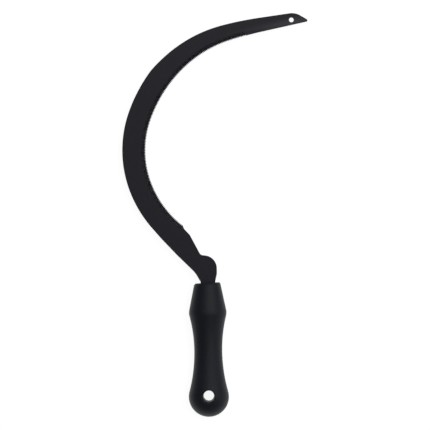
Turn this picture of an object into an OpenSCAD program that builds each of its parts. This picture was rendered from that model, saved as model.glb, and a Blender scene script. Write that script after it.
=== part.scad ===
// Hand sickle: a pressed steel blade with a saw-toothed inner edge, and a plastic handle moulded on its tang.
// Sizes are in millimetres. The blade lies in the plane z = 0, the origin is the centre of the
// handle's hanging hole, and +Y runs up the handle towards the blade.

/* [Blade] */
// Thickness of the steel sheet
sheet_t = 2; // [1.4:0.1:2.6]
// Width of the blade from the heel to where it starts to narrow
blade_w = 24.2; // [18:0.1:28]
// Width of the blade where its narrowing eases off
middle_w = 17.5; // [15:0.1:18]
// Width that the blade would have at its very point if the back weren't clipped
point_w = 10.9; // [10.5:0.1:14]
// Length of the cutting edge from the heel to where the blade starts to narrow
narrow_from = 164; // [120:1:200]
// Length of the cutting edge from the heel to where the narrowing eases off
narrow_to = 239; // [215:1:270]

/* [Curve of the cutting edge] */
// Direction in which the edge leaves the heel, in degrees from +X
edge_heading = 141; // [136:0.5:146]
// Radius of the first bend from the heel
bend_r1 = 102.2; // [92:0.1:115]
// Angle that the first bend turns through
bend_a1 = 31.4; // [26:0.1:36]
// Radius of the second bend
bend_r2 = 95.3; // [88:0.1:108]
// Angle that the second bend turns through
bend_a2 = 39.8; // [34:0.1:44]
// Radius of the third bend
bend_r3 = 140; // [125:0.1:155]
// Angle that the third bend turns through
bend_a3 = 27; // [22:0.1:31]
// Radius of the fourth bend
bend_r4 = 121.8; // [110:0.1:136]
// Angle that the fourth bend turns through
bend_a4 = 25.3; // [21:0.1:29]
// Radius of the last, slight bend
bend_r5 = 356; // [300:1:420]
// Angle that the last bend turns through
bend_a5 = 5.7; // [4:0.1:8]
// Length of the straight edge that runs out to the point
point_straight = 51.2; // [42:0.1:60]

/* [Point] */
// Length of edge beside which the back is clipped off to form the point
clip_len = 13.1; // [10:0.1:18]
// Radius where the clipped back meets the spine
clip_r = 16.5; // [8:0.5:18]
// Radius of the very point
point_r = 1.4; // [0.6:0.1:1.6]
// Diameter of the hole near the point
point_hole_d = 4.9; // [3:0.1:6]
// Distance of that hole from the point, along the edge
point_hole_back = 18.5; // [17:0.1:24]
// Distance of that hole from the edge
point_hole_in = 5.2; // [4.8:0.1:6.4]

/* [Toothed bevel] */
// Width of the ground bevel along the cutting edge
bevel_w = 3.4; // [2.4:0.1:4.2]
// Thickness left at the edge below the bevel
edge_t = 0.3; // [0.2:0.05:0.5]
// Length over which the bevel runs out past the last tooth
bevel_runout = 16; // [10:1:24]
// Distance from one tooth to the next, sixteen to the inch
tooth_pitch = 1.6; // [1.4:0.1:2.4]
// Depth of the groove between two teeth
tooth_depth = 0.8; // [0.6:0.05:1]
// Width of the flat left between two grooves
tooth_land = 0.12; // [0.1:0.02:0.3]
// Lean of the teeth towards the handle, in degrees
tooth_lean = 18; // [0:1:24]
// Length of the cutting edge that has teeth
toothed_len = 261; // [180:1:270]

/* [Heel and neck] */
// Place of the edge's start across the handle's axis
edge_x = -24.9; // [-27:0.1:-23]
// Height of the edge's start above the handle
edge_y = 60.4; // [57:0.1:64]
// Place of the end of the plain heel, just below the first tooth
heel_end_x = -23.3; // [-24.5:0.1:-22]
// Height of the end of the plain heel
heel_end_y = 56.4; // [55:0.1:57.5]
// Place of the heel's corner across the handle's axis
heel_x = -17.6; // [-19:0.1:-15]
// Height of the heel's corner above the handle
heel_y = 50.3; // [47:0.1:52]
// Radius of the heel's corner
heel_r = 2; // [1:0.5:6]
// Place of the notch between heel and lobe across the handle's axis
notch_x = -6.6; // [-8:0.1:-5]
// Height of that notch above the handle
notch_y = 29.2; // [28:0.1:31]
// Radius in the notch
notch_r = 4; // [1:0.5:5]
// Reach of the round lobe across the handle's axis
lobe_x = 10.1; // [9.6:0.1:12]
// Height of the lobe's outer corner above the handle, before it is rounded
lobe_top = 27.1; // [25.5:0.1:28.5]
// Radius that rounds the lobe's outer corner
lobe_r = 13.5; // [8:0.5:14]
// Height at which the lobe draws in to the neck
lobe_foot = 9.6; // [7:0.1:11]
// Radius where the lobe draws in to the neck
lobe_foot_r = 7; // [3:0.5:9]
// Length of the edge beside which the spine doesn't follow the edge's curve
heel_len = 18; // [14:1:24]
// Place of the spine's slight bow below that across the handle's axis
spine_bow_x = -39.5; // [-41:0.1:-38]
// Height of that bow above the handle
spine_bow_y = 37.7; // [36.5:0.1:39]
// Radius of that bow
spine_bow_r = 300; // [100:10:320]
// Place of the hollow in the spine above the neck across the handle's axis
spine_bend_x = -12.5; // [-13.5:0.1:-11.5]
// Height of that hollow above the handle
spine_bend_y = 10.9; // [10:0.1:12]
// Radius of that hollow
spine_bend_r = 26; // [10:1:32]
// Width of the neck where it leaves the handle
neck_w = 15.2; // [14:0.1:16]
// Distance of the neck's middle from the handle's axis
neck_off = 0.6; // [0:0.1:1]

/* [Tang] */
// Length of the tang inside the handle
tang_len = 82; // [60:1:90]
// Width of the tang at its end
tang_w = 11; // [8:0.5:13]
// Radius of the tang's two end corners
tang_r = 3; // [1:0.5:4]
// Diameter of the two holes that the plastic flows through
tang_hole_d = 6.5; // [4:0.5:7.5]
// Distance of the upper hole below the handle's end
tang_hole_1 = 22; // [16:1:30]
// Distance of the lower hole below the handle's end
tang_hole_2 = 66; // [50:1:70]
// Gap between the tang and the plastic round it
tang_gap = 0.05; // [0.02:0.01:0.1]

/* [Handle] */
// Length of the handle
handle_len = 139.2; // [130:0.1:150]
// Width of the round butt
butt_w = 41.8; // [38:0.1:45]
// Thickness of the butt, which sets how oval the whole handle is
butt_t = 30; // [26:0.1:34]
// Width of the waist
waist_w = 29.1; // [26:0.1:32]
// Distance of the waist from the butt's end
waist_up = 68.6; // [64:0.1:73]
// Width across the shoulder, before its corner is rounded
shoulder_w = 39.8; // [37:0.1:43]
// Distance of the shoulder from the butt's end
shoulder_up = 108; // [103:0.1:112]
// Radius of the shoulder's rounded corner
shoulder_r = 14; // [4:0.5:20]
// Width of the handle's upper end
end_w = 27; // [25:0.1:30]
// Slant of the upper end, in degrees
end_slant = 2.5; // [0:0.5:6]
// Width of the bevel round the upper end
end_bevel = 1; // [0.4:0.1:1.4]

/* [Hanging hole] */
// Diameter of the hole at its narrowest
hang_d = 10.8; // [8:0.1:12]
// Length of the narrowest, straight part
hang_land = 8; // [5:0.5:12]
// Draft of the hole towards both faces, in degrees
hang_draft = 5; // [1:0.5:7]
// Radius of the rounded rim at both faces
hang_rim = 1.5; // [0.8:0.1:2]
// Distance of the hole from the butt's end
hang_up = 22.15; // [20:0.05:24]

/* [Hidden] */
// Longest chord along the blade's curve, and the widest turn between two points of a small round
chord = 2.5;
turn_step = 6;
// How far the drawn outline of the handle may stray from its arcs, and the steps along its butt
stray = 0.02;
butt_steps = 18;
// How far a cutting shape reaches past what it cuts
past = 1;
steel = [0.15, 0.15, 0.17];
plastic = [0.10, 0.10, 0.11];

// Directions and turns in the plane
function dir(a) = [cos(a), sin(a)];
function left_of(a) = [-sin(a), cos(a)];
function unit(v) = v / norm(v);
function turned(v, a) = [v.x * cos(a) - v.y * sin(a), v.x * sin(a) + v.y * cos(a)];

// The points of an arc about a centre, from one direction to another
function arc(centre, r, from, to) =
    let (n = max(1, ceil(abs(to - from) / turn_step)))
    [for (k = [0 : n]) centre + r * dir(from + (to - from) * k / n)];

// The points that round the corner b between its neighbours a and c
function corner_arc(a, b, c, r) =
    let (u = unit(a - b), v = unit(c - b), half = acos(u * v) / 2)
    let (centre = b + unit(u + v) * r / sin(half), first = b + u * r / tan(half) - centre)
    let (turn = 180 - 2 * half, n = max(1, ceil(turn / turn_step)), way = sign(cross(b - a, c - b)))
    [for (k = [0 : n]) centre + turned(first, way * turn * k / n)];

// An outline from corners [x, y, radius], where a radius of 0 leaves the corner sharp
function rounded(corners) =
    let (n = len(corners))
    [for (i = [0 : n - 1])
        let (a = corners[(i + n - 1) % n], b = corners[i], c = corners[(i + 1) % n])
        each b.z > 0
            ? corner_arc([a.x, a.y], [b.x, b.y], [c.x, c.y], b.z)
            : [[b.x, b.y]]];

// Curve of the cutting edge: bends of [radius, angle], all turning clockwise, then a straight
bends = [[bend_r1, bend_a1], [bend_r2, bend_a2], [bend_r3, bend_a3], [bend_r4, bend_a4], [bend_r5, bend_a5]];
grip_end = handle_len - hang_up;
edge_start = [edge_x, grip_end + edge_y];
function arc_len(bend) = bend[0] * bend[1] * PI / 180;
function bend_point(p, a, bend, turn) = p + bend[0] * (left_of(a - turn) - left_of(a));

// The point at a length s along the edge, with the edge's direction there: [x, y, direction]
function edge_at(s, i = 0, p = edge_start, a = edge_heading) =
    i == len(bends) || s < 0 ? let (q = p + s * dir(a)) [q.x, q.y, a]
    : s <= arc_len(bends[i])
        ? let (turn = s / bends[i][0] * 180 / PI, q = bend_point(p, a, bends[i], turn)) [q.x, q.y, a - turn]
    : edge_at(s - arc_len(bends[i]), i + 1, bend_point(p, a, bends[i], bends[i][1]), a - bends[i][1]);

// A point beside the edge, at a distance into the blade
function beside_edge(s, into) = let (e = edge_at(s)) [e.x, e.y] + into * left_of(e.z);

curved_len = arc_len(bends[0]) + arc_len(bends[1]) + arc_len(bends[2]) + arc_len(bends[3]) + arc_len(bends[4]);
edge_len = curved_len + point_straight;
function width_at(s) =
    lookup(s, [[narrow_from, blade_w], [narrow_to, middle_w], [edge_len, point_w]]);

chords = ceil(curved_len / chord);
curve_steps = [for (k = [0 : chords]) curved_len * k / chords];
spine_steps = [for (s = curve_steps) if (s > heel_len + chord / 2) s];
clip_at = edge_len - clip_len;

function with_radius(p, r) = [p.x, p.y, r];

// Place of the tang's left (-1) or right (1) side at a height above the handle's end
function tang_side(side, up) =
    neck_off + side * neck_w / 2 + up * (neck_off + side * (neck_w - tang_w) / 2) / tang_len;

// The tang's four corners in the handle, grown by a gap and reaching a height above the handle's end
function tang_corners(grow, top) =
    let (foot = -tang_len - grow)
    [[tang_side(-1, top) - grow, grip_end + top, 0],
     [tang_side(-1, foot) - grow, grip_end + foot, tang_r + grow],
     [tang_side(1, foot) + grow, grip_end + foot, tang_r + grow],
     [tang_side(1, top) + grow, grip_end + top, 0]];

// How far the tang's straight sides go on above the handle's slanted end
neck_rise = neck_w / 2 * tan(end_slant) + past;

blade_corners = concat(
    [for (s = curve_steps) with_radius(beside_edge(s, 0), 0)],
    [with_radius(beside_edge(edge_len, 0), point_r)],
    [with_radius(beside_edge(clip_at, width_at(clip_at)), clip_r)],
    [for (k = [len(spine_steps) - 1 : -1 : 0]) let (s = spine_steps[k]) with_radius(beside_edge(s, width_at(s)), 0)],
    [with_radius(beside_edge(heel_len, width_at(heel_len)), 0)],
    [[spine_bow_x, grip_end + spine_bow_y, spine_bow_r]],
    [[spine_bend_x, grip_end + spine_bend_y, spine_bend_r]],
    tang_corners(0, neck_rise),
    [[lobe_x, grip_end + lobe_foot, lobe_foot_r]],
    [[lobe_x, grip_end + lobe_top, lobe_r]],
    [[notch_x, grip_end + notch_y, notch_r]],
    [[heel_x, grip_end + heel_y, heel_r]],
    [[heel_end_x, grip_end + heel_end_y, 0]]);

// Slope of the ground bevel, as its rise for each millimetre across
bevel_slope = (sheet_t - edge_t) / bevel_w;

// How far the bevel has moved out of the blade: nothing beside the teeth, all of it at both run-outs
function bevel_shift(s) =
    (bevel_w + edge_t) * lookup(s, [[-bevel_runout, 1], [0, 0], [toothed_len, 0], [toothed_len + bevel_runout, 1]]);
bevel_steps = concat(
    [-bevel_runout],
    [for (s = curve_steps) if (s < toothed_len + bevel_runout - chord) s],
    [toothed_len + bevel_runout]);

// Three corners of the ground-off wedge at a length s along the edge
function wedge_ring(s) =
    let (out = bevel_shift(s), low = -sheet_t / 2 + edge_t - bevel_slope * past)
    let (high = sheet_t / 2 + bevel_slope * past)
    let (outer = beside_edge(s, -past - out), inner = beside_edge(s, bevel_w + past - out))
    [[outer.x, outer.y, low], [inner.x, inner.y, high], [outer.x, outer.y, high]];

// The wedge that grinding takes off above the cutting edge
module ground_wedge() {
    n = len(bevel_steps);
    last = 3 * (n - 1);
    polyhedron(
        points = [for (s = bevel_steps) each wedge_ring(s)],
        faces = concat(
            [[0, 1, 2], [last + 2, last + 1, last]],
            [for (i = [0 : n - 2], k = [0 : 2]) each
                let (a = 3 * i + k, b = 3 * i + (k + 1) % 3)
                [[a, a + 3, b + 3], [a, b + 3, b]]]),
        convexity = 6);
}

// One groove of the teeth at a length s along the edge: a V that runs down the bevel, open above
module tooth_groove(s) {
    e = edge_at(s);
    half = (tooth_pitch - tooth_land) / 2;
    slope = atan(bevel_slope * cos(tooth_lean));
    reach = (sheet_t + tooth_depth) / sin(slope);
    translate([e.x, e.y, -sheet_t / 2 + edge_t])
        rotate(e.z + 90 + tooth_lean)
            rotate([0, -slope, 0])
                translate([-past, 0, 0])
                    rotate([90, 0, 90])
                        linear_extrude(reach + past)
                            polygon([[0, -tooth_depth], [half, 0], [half, sheet_t], [-half, sheet_t], [-half, 0]]);
}

module blade() {
    hole = beside_edge(edge_len - point_hole_back, point_hole_in);
    color(steel)
        difference() {
            difference() {
                translate([0, 0, -sheet_t / 2])
                    linear_extrude(sheet_t)
                        polygon(rounded(blade_corners));
                ground_wedge();
            }
            for (s = [tooth_pitch / 2 : tooth_pitch : toothed_len])
                tooth_groove(s);
            translate([hole.x, hole.y, -sheet_t])
                cylinder(d = point_hole_d, h = 2 * sheet_t, $fn = 48);
            for (down = [tang_hole_1, tang_hole_2])
                translate([0, grip_end - down, -sheet_t])
                    cylinder(d = tang_hole_d, h = 2 * sheet_t, $fn = 48);
        }
}

// Half outline of the handle, from its butt's end on the axis up to above its slanted end
butt_r = butt_w / 2;
waist_r = waist_w / 2;
shoulder_h = shoulder_w / 2;
butt_y = butt_r - hang_up;
waist_y = waist_up - hang_up;
shoulder_y = shoulder_up - hang_up;
// The lower hollow of the waist runs smoothly into the round butt
hollow_low = ((waist_y - butt_y) ^ 2 + waist_r ^ 2 - butt_r ^ 2) / (2 * (butt_r - waist_r));
butt_turn = atan2(waist_y - butt_y, waist_r + hollow_low);
// The upper hollow rises from the waist to the shoulder's corner
hollow_high = ((shoulder_y - waist_y) ^ 2 + (shoulder_h - waist_r) ^ 2) / (2 * (shoulder_h - waist_r));
flank = unit([end_w / 2 - shoulder_h, grip_end - shoulder_y]);
inward = [-flank.y, flank.x];
// Centre of the shoulder's round, which touches the upper hollow and the flank
from_hollow = [shoulder_h, shoulder_y] + shoulder_r * inward - [waist_r + hollow_high, waist_y];
along = -(from_hollow * flank)
    + sqrt((from_hollow * flank) ^ 2 - from_hollow * from_hollow + (hollow_high + shoulder_r) ^ 2);
round_at = [shoulder_h, shoulder_y] + shoulder_r * inward + along * flank;
round_from = atan2(waist_y - round_at.y, waist_r + hollow_high - round_at.x);
flank_side = atan2(-inward.y, -inward.x);
end_past = end_w / 2 * tan(end_slant) + past;

// An arc with as many points as keep it true, from its first point on or from its second
function fine_arc(centre, r, from, to, first = 0) =
    let (n = max(2, ceil(abs(to - from) / (2 * acos(1 - stray / r)))))
    [for (k = [first : n]) centre + r * dir(from + (to - from) * k / n)];

handle_outline = concat(
    [[0, butt_y - butt_r]],
    [for (k = [1 : butt_steps - 1]) [0, butt_y] + butt_r * dir(-90 + (90 + butt_turn) * k / butt_steps)],
    fine_arc([waist_r + hollow_low, waist_y], hollow_low, 180 + butt_turn, 180),
    fine_arc([waist_r + hollow_high, waist_y], hollow_high, 180, 180 + round_from, 1),
    fine_arc(round_at, shoulder_r, round_from, flank_side, 1),
    [[end_w / 2, grip_end] + end_past / flank.y * flank],
    [[0, grip_end + end_past]]);

handle_flatness = butt_t / butt_w;

// What is cut off the upper end: all beyond the end's face, and a bevel round it
end_outline = [
    [0, 0],
    [end_w / 2 - end_bevel, 0],
    [end_w / 2 + past, -end_bevel - past],
    [end_w / 2 + past, end_past + past],
    [0, end_past + past]];

// An oval solid about the handle's axis, turned in four quarters from half of its outline
module oval_turned(outline) {
    scale([1, 1, handle_flatness])
        rotate([-90, 0, 0])
            for (quarter = [0 : 90 : 270])
                rotate(quarter)
                    rotate_extrude(angle = 90, $fn = 96)
                        polygon(outline);
}

// Outside of the handle, with its slanted end bevelled all round
module handle_body() {
    difference() {
        oval_turned(handle_outline);
        translate([0, grip_end, 0])
            rotate(end_slant)
                oval_turned(end_outline);
    }
}

// Space that the tang takes in the handle, with the plastic's two pegs left standing in it
module tang_space() {
    difference() {
        translate([0, 0, -sheet_t / 2 - tang_gap])
            linear_extrude(sheet_t + 2 * tang_gap)
                polygon(rounded(tang_corners(tang_gap, end_past + past)));
        for (down = [tang_hole_1, tang_hole_2])
            translate([0, grip_end - down, -sheet_t])
                cylinder(r = tang_hole_d / 2 - tang_gap, h = 2 * sheet_t, $fn = 48);
    }
}

// Half of the hanging hole: a straight land, a drafted wall and a rounded rim
module hang_half() {
    r = hang_d / 2;
    rim_z = handle_flatness * sqrt(butt_r ^ 2 - (r + hang_rim) ^ 2) - hang_rim;
    drafted = r + (rim_z - hang_land / 2) * tan(hang_draft);
    rim = arc([drafted + hang_rim, rim_z], hang_rim, 180, 90);
    rotate_extrude($fn = 96)
        polygon(concat([[0, -past], [r, -past], [r, hang_land / 2]], rim, [[drafted + hang_rim, butt_t], [0, butt_t]]));
}

module handle() {
    color(plastic)
        difference() {
            handle_body();
            tang_space();
            hang_half();
            mirror([0, 0, 1])
                hang_half();
        }
}

blade();
handle();
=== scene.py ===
"""Looks of a hand sickle: a blade in blue-black lacquer with a ground, toothed edge, and a matt
black moulded handle.

The sickle lies on its back on a pale floor, seen from straight above. Everything is in metres, in
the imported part's own frame: +Y up the handle towards the blade, +Z out of the ground face.
"""
import math

import bmesh
import bpy
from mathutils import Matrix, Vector


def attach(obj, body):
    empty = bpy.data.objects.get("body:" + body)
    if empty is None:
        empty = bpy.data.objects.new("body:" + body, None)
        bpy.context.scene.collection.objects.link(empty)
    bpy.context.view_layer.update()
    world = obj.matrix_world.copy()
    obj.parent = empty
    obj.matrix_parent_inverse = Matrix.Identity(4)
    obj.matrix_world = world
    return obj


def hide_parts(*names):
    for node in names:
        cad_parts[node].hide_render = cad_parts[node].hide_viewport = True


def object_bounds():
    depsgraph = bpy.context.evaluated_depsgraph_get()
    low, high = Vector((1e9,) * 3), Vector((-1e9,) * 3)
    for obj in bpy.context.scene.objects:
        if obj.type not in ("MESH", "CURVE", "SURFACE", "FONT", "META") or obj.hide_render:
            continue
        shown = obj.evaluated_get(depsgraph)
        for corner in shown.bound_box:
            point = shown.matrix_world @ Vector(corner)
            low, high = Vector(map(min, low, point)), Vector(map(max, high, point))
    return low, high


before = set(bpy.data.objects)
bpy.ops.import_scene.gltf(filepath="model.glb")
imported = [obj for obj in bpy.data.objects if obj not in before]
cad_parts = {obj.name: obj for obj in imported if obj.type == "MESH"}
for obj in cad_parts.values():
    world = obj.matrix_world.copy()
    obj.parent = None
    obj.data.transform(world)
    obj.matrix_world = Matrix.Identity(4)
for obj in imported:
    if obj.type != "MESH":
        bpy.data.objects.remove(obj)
cad_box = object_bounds()

MM = 0.001

# Colours as sRGB hex codes, the darkest and the lightest where there are two
LACQUER = ("1a1923", "242330")
# A lighter grey, painted in near the point as a highlight
PAINTED_HIGHLIGHT = "4a4952"
BARE_STEEL = "605f66"
PLASTIC = ("0e111d", "151927")
FLOOR_PAINT = "f4f4f4"
WHITE = "ffffff"

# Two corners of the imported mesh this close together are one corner
SAME_POINT = 0.002 * MM
# Facets that turn by less than the first angle are one flat, and below the second one round
FLAT_TO = math.radians(0.3)
SMOOTH_TO = math.radians(32)
# Rounding of the sheet's sheared rims, which turn by more than the angle
SHEET_RIM = 0.18 * MM
SHEET_RIM_FROM = math.radians(75)

# The ground bevel and the grooves slope: the Z of their normals lies between these
GROUND_Z = (0.12, 0.985)

# The painted highlight near the point: it grows from one X to the other, and fades away from a
# line along the smooth edge between the two distances
HIGHLIGHT_X = (15 * MM, 98 * MM)
HIGHLIGHT_EDGE_POINT = (90 * MM, 384 * MM, 0)
HIGHLIGHT_EDGE_SLOPE = math.radians(11.5)
HIGHLIGHT_FADE = (3.5 * MM, 9.5 * MM)

# Heights above and below the blade's plane between which the handle's parting line fades
PARTING_FADE = (0.12 * MM, 0.3 * MM)
PARTING_HEIGHT = 2.5

# The photograph is 430 pixels square, and one pixel is 1.04 mm in the blade's plane
VIEW_WIDTH = 430 * 1.04 * MM
VIEW_CENTRE = (8.94 * MM, 187.6 * MM)
VIEW_TILT = math.radians(-0.783)
CAMERA_HEIGHT = 2.3
CAMERA_SENSOR = 36
CAMERA_REACH = 20

# The floor: its width, how much of it is plain white to the camera, and how strong that white is
FLOOR_WIDTH = 8
FLOOR_WHITE_SHARE = 0.6
FLOOR_WHITE_STRENGTH = 1.5

# Light from the room at the floor's level and overhead, and the heights between which it changes
ROOM_LIGHT = (0.5, 0.15)
ROOM_HEIGHT = (0.05, 0.55)


# ---------------------------------------------------------------- node helpers

def linear(hex_code):
    """An sRGB hex colour, such as "2a2930", as linear RGBA."""
    channels = [int(hex_code[i:i + 2], 16) / 255 for i in (0, 2, 4)]
    return [c / 12.92 if c <= 0.04045 else ((c + 0.055) / 1.055) ** 2.4 for c in channels] + [1]


def add(tree, kind, inputs=None, **settings):
    """A node with its settings, and its inputs given as values or as sockets to link."""
    node = tree.nodes.new(kind)
    for name, value in settings.items():
        setattr(node, name, value)
    for key, value in (inputs or {}).items():
        if isinstance(value, bpy.types.NodeSocket):
            tree.links.new(value, node.inputs[key])
        else:
            node.inputs[key].default_value = value
    return node


def noise(tree, place, size, detail):
    """Noise from 0 to 1 in patches of about this size in metres."""
    return add(tree, "ShaderNodeTexNoise",
               {"Vector": place, "Scale": 1 / size, "Detail": detail}).outputs["Fac"]


def calculate(tree, operation, *values):
    """The result of one arithmetic operation on numbers or sockets."""
    return add(tree, "ShaderNodeMath", dict(enumerate(values)), operation=operation).outputs[0]


def rescale(tree, value, low, high, to_low=0, to_high=1, curve="LINEAR"):
    """A value brought from the range low..high to to_low..to_high and held at its ends."""
    return add(tree, "ShaderNodeMapRange", {
        "Value": value, "From Min": low, "From Max": high, "To Min": to_low, "To Max": to_high},
        interpolation_type=curve).outputs[0]


def blend(tree, share, first, second):
    """The colour this share of the way from the first to the second, hex codes or sockets."""
    first, second = (linear(c) if isinstance(c, str) else c for c in (first, second))
    return add(tree, "ShaderNodeMix", {"Factor": share, 6: first, 7: second},
               data_type="RGBA").outputs[2]


def new_material(name):
    """An empty node material, its tree and its output node."""
    material = bpy.data.materials.new(name)
    material.use_nodes = True
    material.node_tree.nodes.clear()
    return material, material.node_tree, add(material.node_tree, "ShaderNodeOutputMaterial")


# ---------------------------------------------------------------- materials

def lacquered_blade():
    """Blue-black baking lacquer on sheet steel.

    A satin film with a slight orange peel and faint clouds. Grinding the bevel and filing the
    teeth cut through it in places, so the toothed band is mottled with dull grey steel. A painted
    highlight turns the smooth stretch near the point a lighter, streaky grey.
    """
    material, tree, output = new_material("blue_black_lacquer_on_steel")
    place = add(tree, "ShaderNodeTexCoord").outputs["Object"]
    x = add(tree, "ShaderNodeSeparateXYZ", {0: place}).outputs["X"]

    # Clouds and a finer mottle in the lacquer's tone and gloss
    tone = calculate(tree, "ADD", noise(tree, place, 18 * MM, 3), noise(tree, place, 2.5 * MM, 4))
    lacquer = blend(tree, rescale(tree, tone, 0.7, 1.3), *LACQUER)
    gloss = rescale(tree, tone, 0.7, 1.3, 0.35, 0.45)

    # The painted highlight, by the distance from the smooth edge and the way towards the point
    from_edge = add(tree, "ShaderNodeVectorMath", {0: place, 1: HIGHLIGHT_EDGE_POINT},
                    operation="SUBTRACT").outputs[0]
    across = (-math.sin(HIGHLIGHT_EDGE_SLOPE), math.cos(HIGHLIGHT_EDGE_SLOPE), 0)
    depth = add(tree, "ShaderNodeVectorMath", {0: from_edge, 1: across},
                operation="DOT_PRODUCT").outputs["Value"]
    near_edge = rescale(tree, depth, HIGHLIGHT_FADE[1], HIGHLIGHT_FADE[0], curve="SMOOTHSTEP")
    near_point = rescale(tree, x, *HIGHLIGHT_X, curve="SMOOTHSTEP")
    # The painted highlight is broken into fine streaks along the blade, 0.4 mm apart and some 12 mm
    # long
    along_blade = add(tree, "ShaderNodeMapping", {
        "Vector": place, "Rotation": (0, 0, -HIGHLIGHT_EDGE_SLOPE), "Scale": (80, 2500, 2500)})
    highlight_streaks = rescale(tree, noise(tree, along_blade.outputs[0], 1, 2), 0.3, 0.7, 0.55, 1)
    painted_highlight = calculate(tree, "MULTIPLY", calculate(tree, "MULTIPLY", near_edge, near_point),
                       highlight_streaks)

    # Bare spots of 1 to 2 mm on the faces that slope
    normal = add(tree, "ShaderNodeNewGeometry").outputs["True Normal"]
    facing = add(tree, "ShaderNodeSeparateXYZ", {0: normal}).outputs["Z"]
    ground = calculate(tree, "MULTIPLY", calculate(tree, "LESS_THAN", facing, GROUND_Z[1]),
                       calculate(tree, "GREATER_THAN", facing, GROUND_Z[0]))
    spots = rescale(tree, noise(tree, place, 1.6 * MM, 2), 0.44, 0.64)
    bare = calculate(tree, "MULTIPLY", ground, spots)
    # The lacquer is lightened near the point by the painted highlight, with bare steel spots on the
    # ground faces
    colour = blend(tree, bare, blend(tree, painted_highlight, lacquer, PAINTED_HIGHLIGHT), BARE_STEEL)

    # Orange peel, and a third as high a grain
    height = calculate(tree, "MULTIPLY_ADD", noise(tree, place, 0.3 * MM, 1), 0.3,
                       noise(tree, place, 1.2 * MM, 1))
    bump = add(tree, "ShaderNodeBump",
               {"Height": height, "Strength": 0.35, "Distance": 0.03 * MM})

    surface = add(tree, "ShaderNodeBsdfPrincipled", {
        "Base Color": colour, "Roughness": gloss,
        "Metallic": calculate(tree, "MULTIPLY", bare, 0.7),
        "IOR": 1.5, "Specular IOR Level": 0.3, "Normal": bump.outputs[0]})
    tree.links.new(surface.outputs[0], output.inputs["Surface"])
    return material


def moulded_plastic():
    """Black polypropylene from a spark-eroded mould: matt, with an even grain and a parting line."""
    material, tree, output = new_material("matt_black_polypropylene")
    place = add(tree, "ShaderNodeTexCoord").outputs["Object"]
    z = add(tree, "ShaderNodeSeparateXYZ", {0: place}).outputs["Z"]

    # Flow marks and a fine mottle in the tone and gloss
    tone = calculate(tree, "ADD", noise(tree, place, 25 * MM, 2), noise(tree, place, 1.5 * MM, 3))
    colour = blend(tree, rescale(tree, tone, 0.7, 1.3), *PLASTIC)
    gloss = rescale(tree, tone, 0.7, 1.3, 0.42, 0.52)

    # The mould's grain, and the parting line all round in the blade's plane
    parting = rescale(tree, calculate(tree, "ABSOLUTE", z), *PARTING_FADE, PARTING_HEIGHT, 0)
    height = calculate(tree, "ADD", noise(tree, place, 0.35 * MM, 2), parting)
    bump = add(tree, "ShaderNodeBump", {"Height": height, "Strength": 0.5, "Distance": 0.05 * MM})

    surface = add(tree, "ShaderNodeBsdfPrincipled", {
        "Base Color": colour, "Roughness": gloss, "IOR": 1.49, "Specular IOR Level": 0.4,
        "Normal": bump.outputs[0]})
    tree.links.new(surface.outputs[0], output.inputs["Surface"])
    return material


# ---------------------------------------------------------------- the two pieces

def dressed_copy(node, name, material):
    """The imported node's mesh as one closed skin with smooth rounds, standing in for the node."""
    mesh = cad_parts[node].data.copy()
    mesh.name = name
    skin = bmesh.new()
    skin.from_mesh(mesh)
    bmesh.ops.remove_doubles(skin, verts=skin.verts, dist=SAME_POINT)
    bmesh.ops.dissolve_degenerate(skin, edges=skin.edges, dist=SAME_POINT)
    bmesh.ops.dissolve_limit(skin, angle_limit=FLAT_TO, verts=skin.verts, edges=skin.edges)
    for face in skin.faces:
        face.smooth = True
    for edge in skin.edges:
        edge.smooth = edge.calc_face_angle(math.pi) < SMOOTH_TO
    skin.to_mesh(mesh)
    skin.free()
    mesh.materials.clear()
    mesh.materials.append(material)
    piece = bpy.data.objects.new(name, mesh)
    bpy.context.scene.collection.objects.link(piece)
    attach(piece, "root")
    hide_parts(node)
    return piece


blade = dressed_copy("blade", "lacquered_blade", lacquered_blade())
rim = blade.modifiers.new("sheared rim", "BEVEL")
rim.width = SHEET_RIM
rim.segments = 2
rim.limit_method = "ANGLE"
rim.angle_limit = SHEET_RIM_FROM
rim.harden_normals = False

dressed_copy("handle", "moulded_handle", moulded_plastic())


# ---------------------------------------------------------------- floor, light and camera

def studio_floor():
    """A wide pale floor: white to the camera, but still darker where the sickle shades it."""
    skin = bmesh.new()
    bmesh.ops.create_grid(skin, x_segments=1, y_segments=1, size=FLOOR_WIDTH / 2)
    bmesh.ops.translate(skin, verts=skin.verts, vec=(*VIEW_CENTRE, cad_box[0][2]))
    mesh = bpy.data.meshes.new("studio_floor")
    skin.to_mesh(mesh)
    skin.free()
    material, tree, output = new_material("white_studio_floor")
    rays = add(tree, "ShaderNodeLightPath").outputs
    seen = calculate(tree, "MAXIMUM", rays["Is Camera Ray"], rays["Is Glossy Ray"])
    seen = calculate(tree, "MAXIMUM", seen, rays["Is Transmission Ray"])
    paint = add(tree, "ShaderNodeBsdfDiffuse", {"Color": linear(FLOOR_PAINT)})
    white = add(tree, "ShaderNodeEmission",
                {"Color": linear(WHITE), "Strength": FLOOR_WHITE_STRENGTH})
    mix = add(tree, "ShaderNodeMixShader", {
        0: calculate(tree, "MULTIPLY", seen, FLOOR_WHITE_SHARE),
        1: paint.outputs[0], 2: white.outputs[0]})
    tree.links.new(mix.outputs[0], output.inputs["Surface"])
    mesh.materials.append(material)
    floor = bpy.data.objects.new("studio_floor", mesh)
    bpy.context.scene.collection.objects.link(floor)


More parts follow.
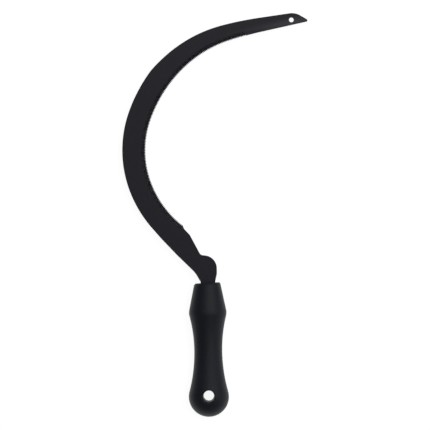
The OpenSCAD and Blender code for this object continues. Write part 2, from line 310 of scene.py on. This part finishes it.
def soft_box(name, place, size, brightness):
    """A square soft box aimed at the middle of the sickle. A brightness of 1 is white paper's."""
    lamp = bpy.data.lights.new(name, "AREA")
    lamp.shape = "SQUARE"
    lamp.size = size
    lamp.energy = brightness * math.pi * size ** 2
    holder = bpy.data.objects.new(name, lamp)
    holder.location = place
    aim = Vector((*VIEW_CENTRE, 0)) - Vector(place)
    holder.rotation_euler = aim.to_track_quat("-Z", "Y").to_euler()
    holder.visible_camera = False
    bpy.context.scene.collection.objects.link(holder)


def white_room():
    """A white room with a dim ceiling. The camera sees it as plain white."""
    world = bpy.data.worlds.new("studio")
    world.use_nodes = True
    tree = world.node_tree
    tree.nodes.clear()
    direction = add(tree, "ShaderNodeTexCoord").outputs["Generated"]
    height = add(tree, "ShaderNodeSeparateXYZ", {0: direction}).outputs["Z"]
    level = rescale(tree, height, *ROOM_HEIGHT, *ROOM_LIGHT, curve="SMOOTHSTEP")
    room = add(tree, "ShaderNodeBackground", {"Color": linear(WHITE), "Strength": level})
    plain = add(tree, "ShaderNodeBackground", {"Color": linear(WHITE), "Strength": 1.0})
    seen = add(tree, "ShaderNodeMixShader", {
        0: add(tree, "ShaderNodeLightPath").outputs["Is Camera Ray"],
        1: room.outputs[0], 2: plain.outputs[0]})
    add(tree, "ShaderNodeOutputWorld", {"Surface": seen.outputs[0]})
    return world


studio_floor()
soft_box("overhead_right", (0.75, 0.8, 2.5), 2.3, 1.07)
soft_box("low_right", (1.7, -0.2, 0.9), 1.3, 0.35)

scene = bpy.context.scene
scene.world = white_room()
scene.view_settings.view_transform = "Standard"

lens = bpy.data.cameras.new("from_above")
lens.sensor_width = CAMERA_SENSOR
lens.lens = CAMERA_SENSOR * CAMERA_HEIGHT / VIEW_WIDTH
lens.clip_end = CAMERA_REACH
camera = bpy.data.objects.new("from_above", lens)
camera.location = (*VIEW_CENTRE, CAMERA_HEIGHT)
camera.rotation_euler = (0, 0, VIEW_TILT)
scene.collection.objects.link(camera)
scene.camera = camera
